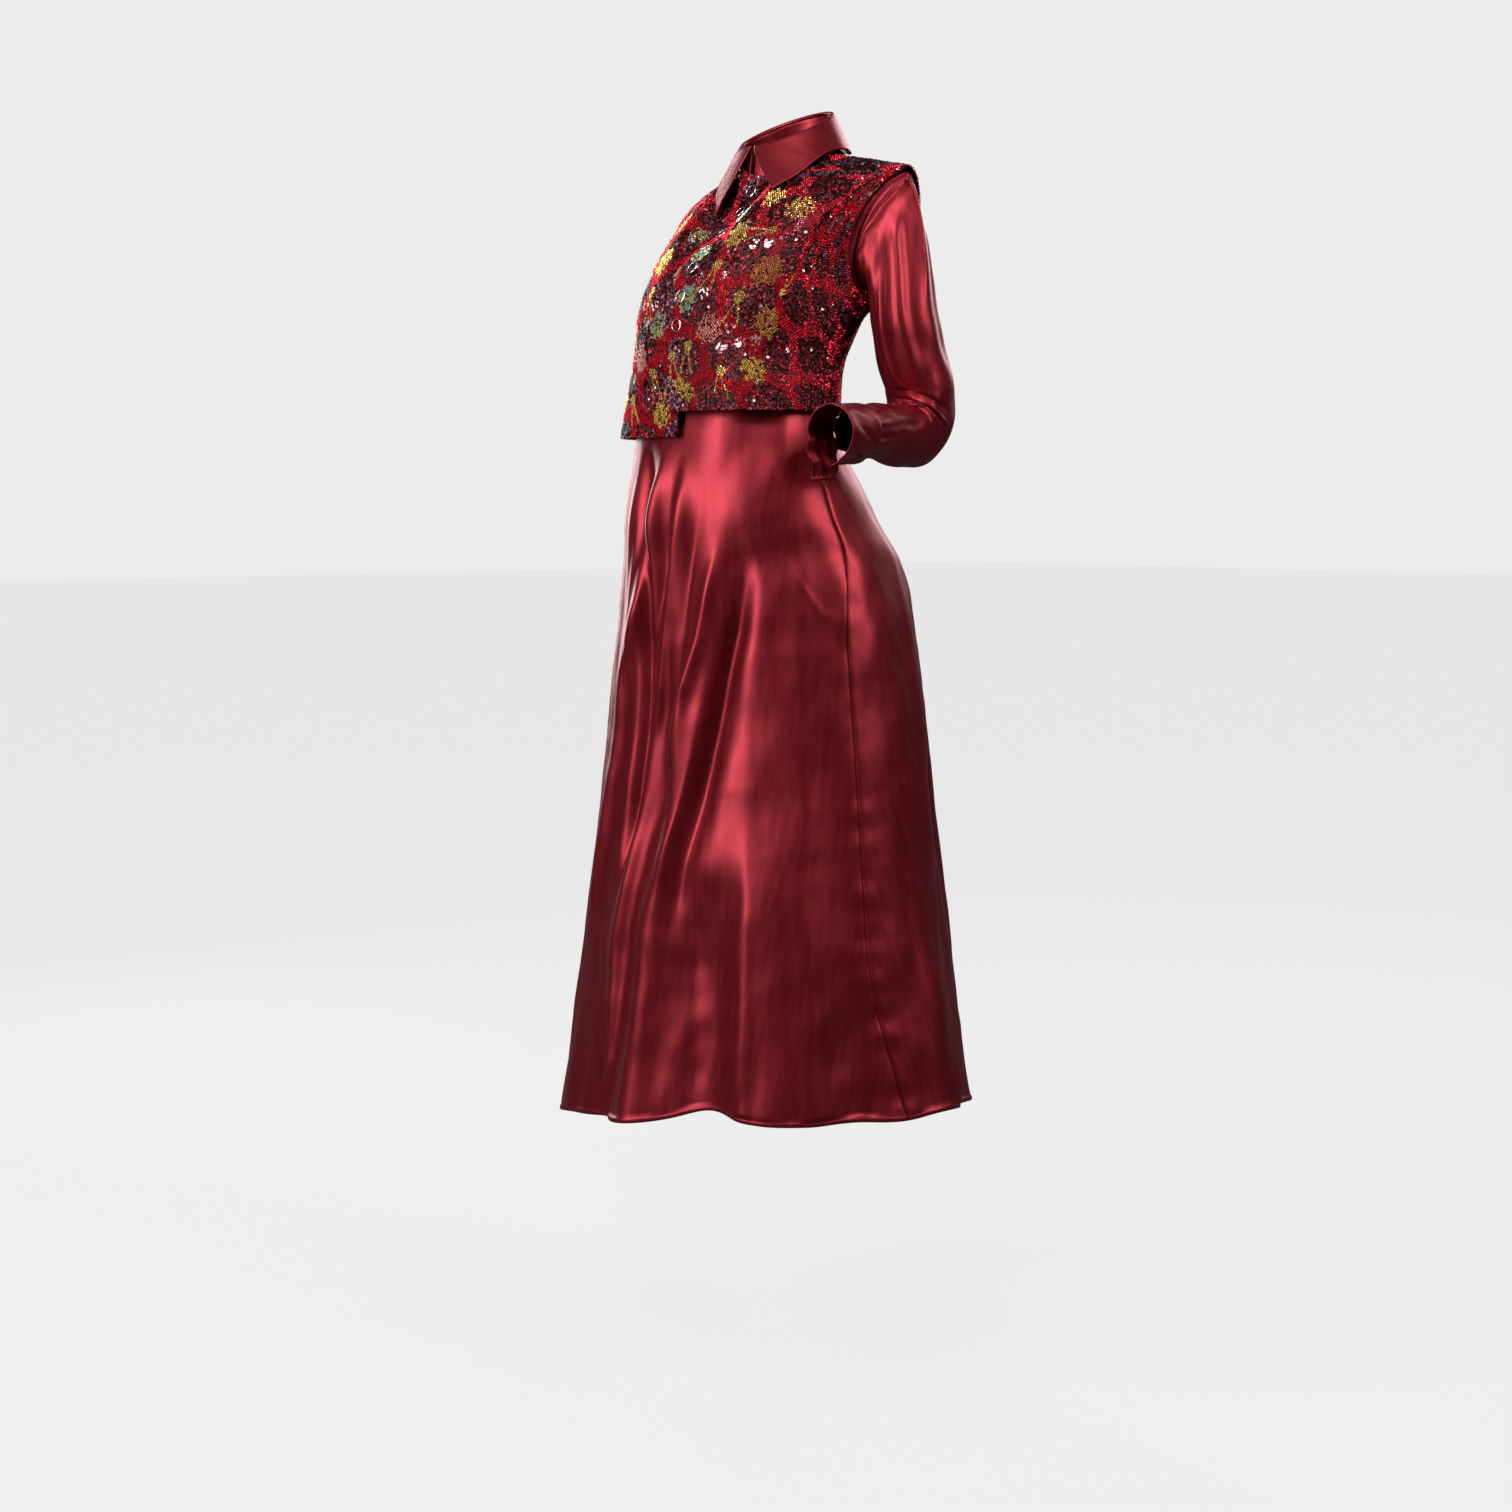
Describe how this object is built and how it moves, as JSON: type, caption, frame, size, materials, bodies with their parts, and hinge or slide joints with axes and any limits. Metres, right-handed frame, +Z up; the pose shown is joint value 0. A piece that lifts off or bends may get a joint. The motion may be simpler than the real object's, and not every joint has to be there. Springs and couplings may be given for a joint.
{
  "type": "silk dress with vest",
  "caption": "Long-sleeved satin shirt dress with a flared midi skirt, worn under a cropped sequinned sleeveless vest, hollow and in its worn shape.",
  "frame": {"origin": "midway between the outer ends of the shoulder seams, where the wearer's shoulders carry the garment", "axes": "+Z up, -Y the way the wearer faces, +X the wearer's left"},
  "size_m": [0.5769, 0.449, 1.2558],
  "materials": {
    "satin": "glossy silk satin, dark wine red",
    "sequin_cloth": "cloth covered with sequins and beads in dark red, bright red and gold",
    "silver": "polished ring snaps"
  },
  "bodies": {
    "root": {"bodice_front_left": "satin", "bodice_front_right": "satin", "bodice_back": "satin", "collar_stand": "satin", "collar_leaf": "satin", "sleeve_left": "satin", "sleeve_right": "satin", "cuff_left": "satin", "cuff_right": "satin", "skirt_front": "satin", "skirt_back": "satin", "pocket_bag": "satin", "vest_front_left": "sequin_cloth", "vest_front_right": "sequin_cloth", "vest_back": "sequin_cloth", "snap_1": "silver", "snap_2": "silver", "snap_3": "silver", "snap_4": "silver", "snap_5": "silver", "snap_6": "silver", "snap_7": "silver"}
  },
  "joints": []
}
